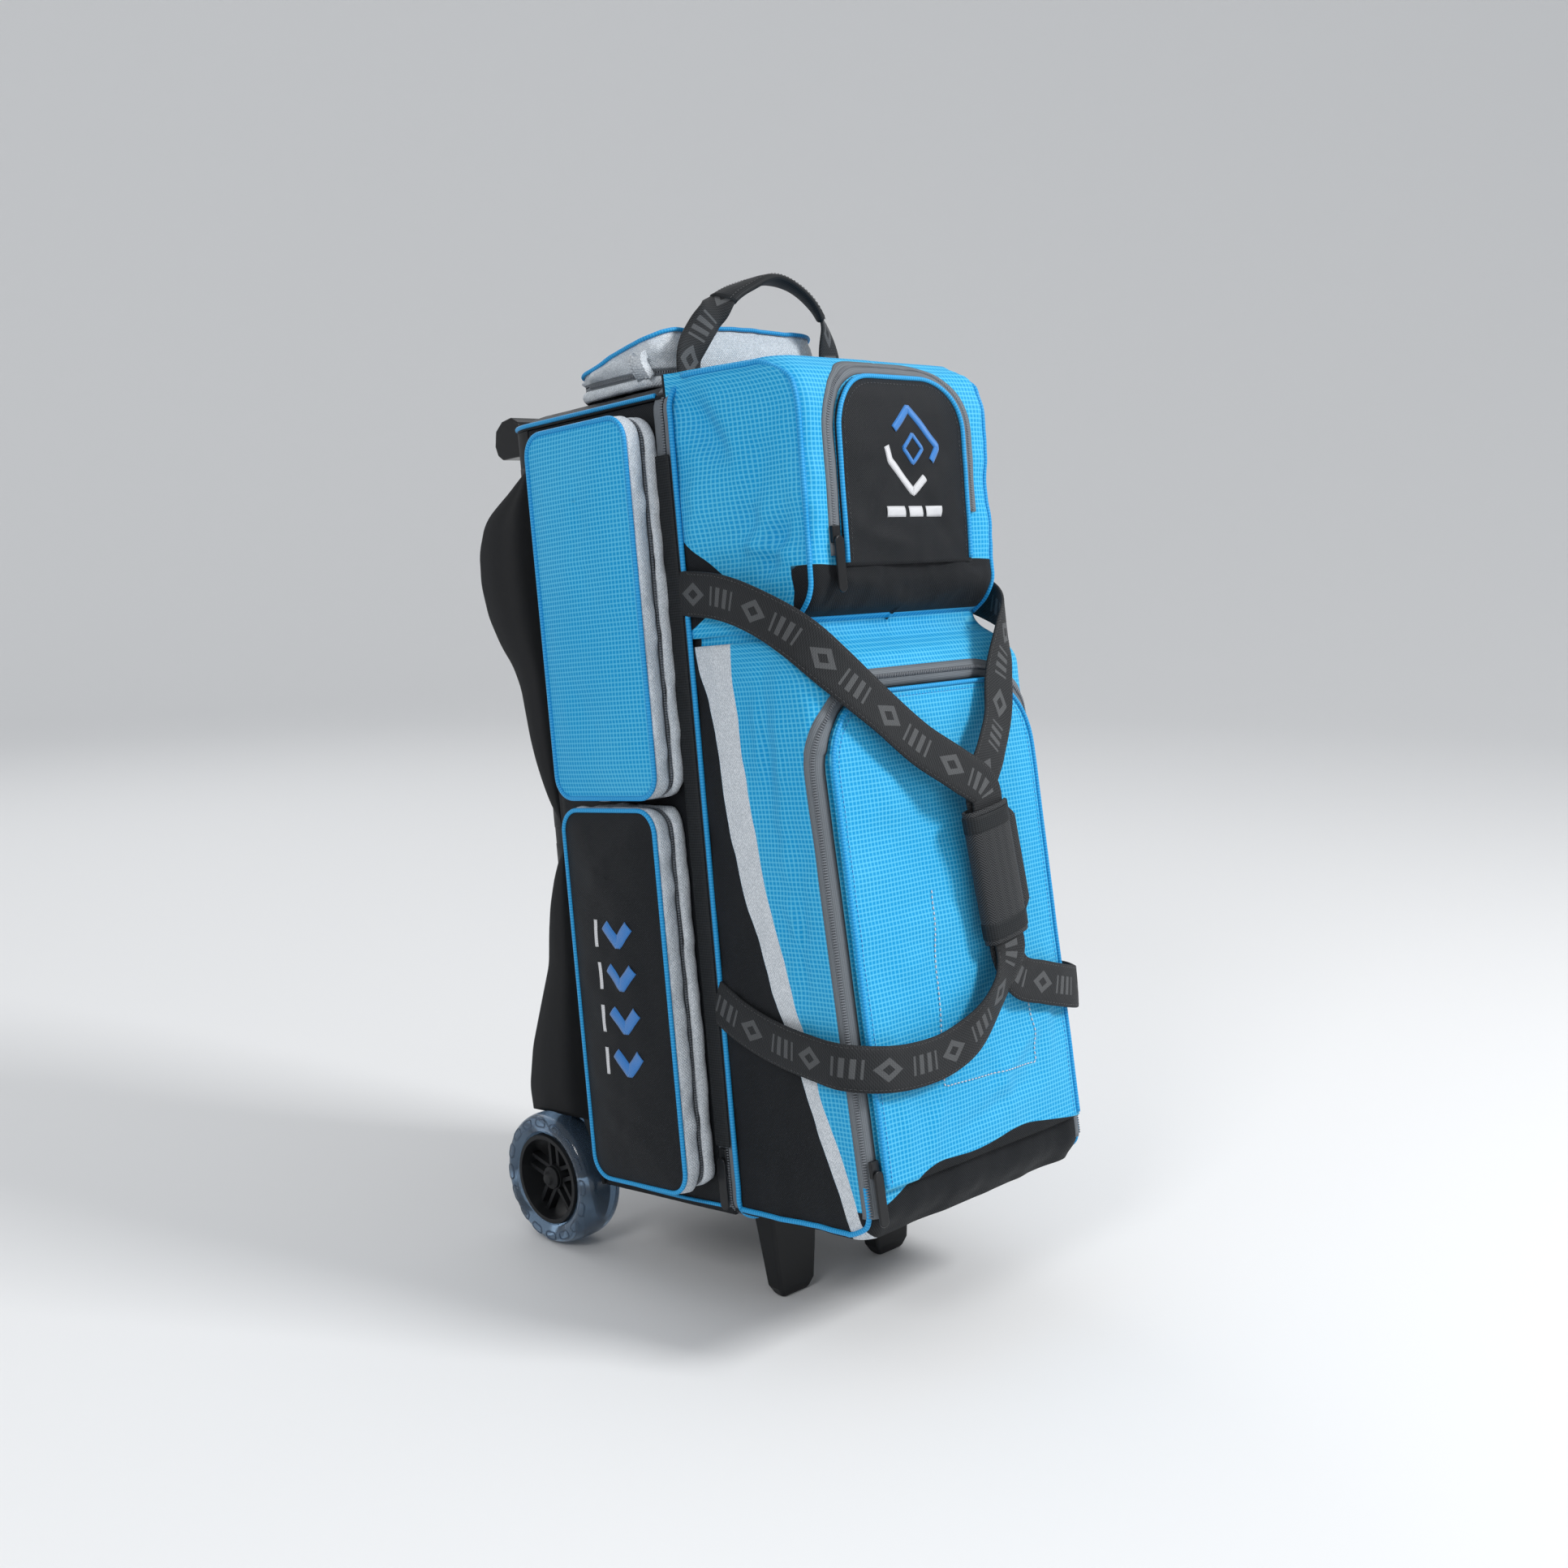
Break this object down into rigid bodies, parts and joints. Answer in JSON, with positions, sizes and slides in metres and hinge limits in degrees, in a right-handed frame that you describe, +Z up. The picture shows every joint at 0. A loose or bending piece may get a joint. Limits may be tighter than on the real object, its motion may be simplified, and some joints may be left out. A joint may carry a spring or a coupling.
{
  "type": "rolling bowling bag",
  "caption": "Upright wheeled bowling bag with stacked ball bays behind a hinged front door, side and top pockets, crossed carry straps, a telescoping handle, rear wheels and front feet.",
  "frame": {"origin": "centre of the bounding box in plan, on the ground that the feet and wheels stand on", "axes": "+Z up, +X to the bag's right seen from the front, +Y towards the wheels and handle at the back; the front compartments face -Y"},
  "size_m": [0.3506, 0.531, 0.9084],
  "materials": {
    "blue_check": "woven check, blue on white",
    "black_fabric": "woven nylon, slight sheen",
    "silver_fabric": "coarse silver weave, sparkling",
    "webbing": "ribbed webbing",
    "padding": "fabric-covered foam",
    "black_plastic": "fine moulded grain",
    "gloss_plastic": "glossy",
    "clear_tyre": "clear smoke-blue urethane",
    "handle_aluminium": "satin anodised",
    "axle_steel": "satin",
    "zip_metal": "black enamel"
  },
  "bodies": {
    "chassis": {"base_tray": "black_plastic", "back_shell": "black_plastic", "side_panel_left": "black_fabric", "side_panel_right": "black_fabric", "top_panel": "black_fabric", "wheel_well_left": "black_plastic", "wheel_well_right": "black_plastic", "axle_bracket_left": "black_plastic", "axle_bracket_right": "black_plastic", "axle": "axle_steel", "kick_skid_left": "black_plastic", "kick_skid_right": "black_plastic", "wheel_fender_left": "black_plastic", "wheel_fender_right": "black_plastic", "ball_cup_lower": "padding", "ball_shelf_middle": "padding", "ball_shelf_upper": "padding", "foot_left": "black_plastic", "foot_right": "black_plastic", "outer_tube_left": "handle_aluminium", "outer_tube_right": "handle_aluminium", "handle_cover": "black_plastic", "upper_pocket_left": "silver_fabric", "upper_pocket_right": "silver_fabric", "lower_pocket_left": "silver_fabric", "lower_pocket_right": "silver_fabric", "top_pocket": "silver_fabric"},
    "handle_middle": {"middle_tube_left": "handle_aluminium", "middle_tube_right": "handle_aluminium"},
    "handle_top": {"inner_tube_left": "handle_aluminium", "inner_tube_right": "handle_aluminium", "handle_grip": "gloss_plastic"},
    "release_button": {"release_button": "gloss_plastic"},
    "wheel_left": {"tyre_left": "clear_tyre", "wheel_hub_left": "black_plastic", "hub_cap_left": "black_plastic"},
    "wheel_right": {"tyre_right": "clear_tyre", "wheel_hub_right": "black_plastic", "hub_cap_right": "black_plastic"},
    "door": {"upper_compartment": "blue_check", "lower_compartment": "blue_check", "lower_flap": "blue_check", "carry_strap_left": "webbing", "carry_strap_right": "webbing", "grip_wrap": "black_fabric"},
    "upper_flap": {"upper_flap": "black_fabric"},
    "upper_pocket_lid_left": {"upper_pocket_lid_left": "blue_check"},
    "upper_pocket_lid_right": {"upper_pocket_lid_right": "blue_check"},
    "lower_pocket_lid_left": {"lower_pocket_lid_left": "black_fabric"},
    "lower_pocket_lid_right": {"lower_pocket_lid_right": "black_fabric"},
    "top_pocket_lid": {"top_pocket_lid": "silver_fabric"},
    "loop_handle": {"loop_handle": "webbing"},
    "main_slider": {"main_zip_slider": "zip_metal"},
    "main_pull": {"main_zip_pull": "zip_metal"},
    "upper_slider": {"upper_zip_slider": "zip_metal"},
    "upper_pull": {"upper_zip_pull": "zip_metal"},
    "lower_slider": {"lower_zip_slider": "zip_metal"},
    "lower_pull": {"lower_zip_pull": "zip_metal"}
  },
  "joints": [
    {"name": "wheel_left_spin", "type": "hinge", "parent": "chassis", "child": "wheel_left", "pos_m": [-0.131, 0.15751, 0.06355], "axis": [1, 0, 0], "continuous": true},
    {"name": "wheel_right_spin", "type": "hinge", "parent": "chassis", "child": "wheel_right", "pos_m": [0.131, 0.15751, 0.06355], "axis": [1, 0, 0], "continuous": true},
    {"name": "handle_lower_stage", "type": "slide", "parent": "chassis", "child": "handle_middle", "axis": [0, 0.1167, 0.9932], "range_m": [0, 0.15]},
    {"name": "handle_upper_stage", "type": "slide", "parent": "handle_middle", "child": "handle_top", "axis": [0, 0.1167, 0.9932], "range_m": [0, 0.15]},
    {"name": "release_button_press", "type": "slide", "parent": "handle_top", "child": "release_button", "axis": [0, -0.1167, -0.9932], "range_m": [0, 0.004], "stiffness_N_per_m": 400, "springref_m": -0.002},
    {"name": "door_hinge", "type": "hinge", "parent": "chassis", "child": "door", "pos_m": [0.1396, -0.05064, 0.45279], "axis": [0, 0.1167, 0.9932], "range_deg": [0, 95]},
    {"name": "upper_flap_hinge", "type": "hinge", "parent": "door", "child": "upper_flap", "pos_m": [0, -0.16719, 0.65467], "axis": [1, 0, 0], "range_deg": [0, 95]},
    {"name": "upper_pocket_left_hinge", "type": "hinge", "parent": "chassis", "child": "upper_pocket_lid_left", "pos_m": [-0.15545, 0.11411, 0.60259], "axis": [0, -0.1167, -0.9932], "range_deg": [0, 110]},
    {"name": "upper_pocket_right_hinge", "type": "hinge", "parent": "chassis", "child": "upper_pocket_lid_right", "pos_m": [0.15545, 0.11411, 0.60259], "axis": [0, 0.1167, 0.9932], "range_deg": [0, 110]},
    {"name": "lower_pocket_left_hinge", "type": "hinge", "parent": "chassis", "child": "lower_pocket_lid_left", "pos_m": [-0.15545, 0.07181, 0.26825], "axis": [0, -0.1167, -0.9932], "range_deg": [0, 110]},
    {"name": "lower_pocket_right_hinge", "type": "hinge", "parent": "chassis", "child": "lower_pocket_lid_right", "pos_m": [0.15545, 0.07181, 0.26825], "axis": [0, 0.1167, 0.9932], "range_deg": [0, 110]},
    {"name": "top_pocket_hinge", "type": "hinge", "parent": "chassis", "child": "top_pocket_lid", "pos_m": [-0.01, 0.14177, 0.80374], "axis": [-1, 0, 0], "range_deg": [0, 105]},
    {"name": "loop_handle_tilt", "type": "hinge", "parent": "chassis", "child": "loop_handle", "pos_m": [0, 0.00722, 0.80696], "axis": [1, 0, 0], "range_deg": [0, 50]},
    {"name": "main_zip_slide", "type": "slide", "parent": "chassis", "child": "main_slider", "axis": [0, 0.1167, 0.9932], "range_m": [0, 0.6]},
    {"name": "main_pull_swing", "type": "hinge", "parent": "main_slider", "child": "main_pull", "pos_m": [-0.1445, -0.0816, 0.1451], "axis": [0, 0.9932, -0.1167], "range_deg": [0, 120]},
    {"name": "upper_zip_slide", "type": "slide", "parent": "door", "child": "upper_slider", "axis": [0, 0.1167, 0.9932], "range_m": [0, 0.085]},
    {"name": "upper_pull_swing", "type": "hinge", "parent": "upper_slider", "child": "upper_pull", "pos_m": [-0.089, -0.16703, 0.67871], "axis": [-1, 0, 0], "range_deg": [0, 120]},
    {"name": "lower_zip_slide", "type": "slide", "parent": "door", "child": "lower_slider", "axis": [0, 0.1814, 0.9834], "range_m": [0, 0.3]},
    {"name": "lower_pull_swing", "type": "hinge", "parent": "lower_slider", "child": "lower_pull", "pos_m": [-0.1355, -0.25623, 0.17807], "axis": [-1, 0, 0], "range_deg": [0, 120]}
  ]
}
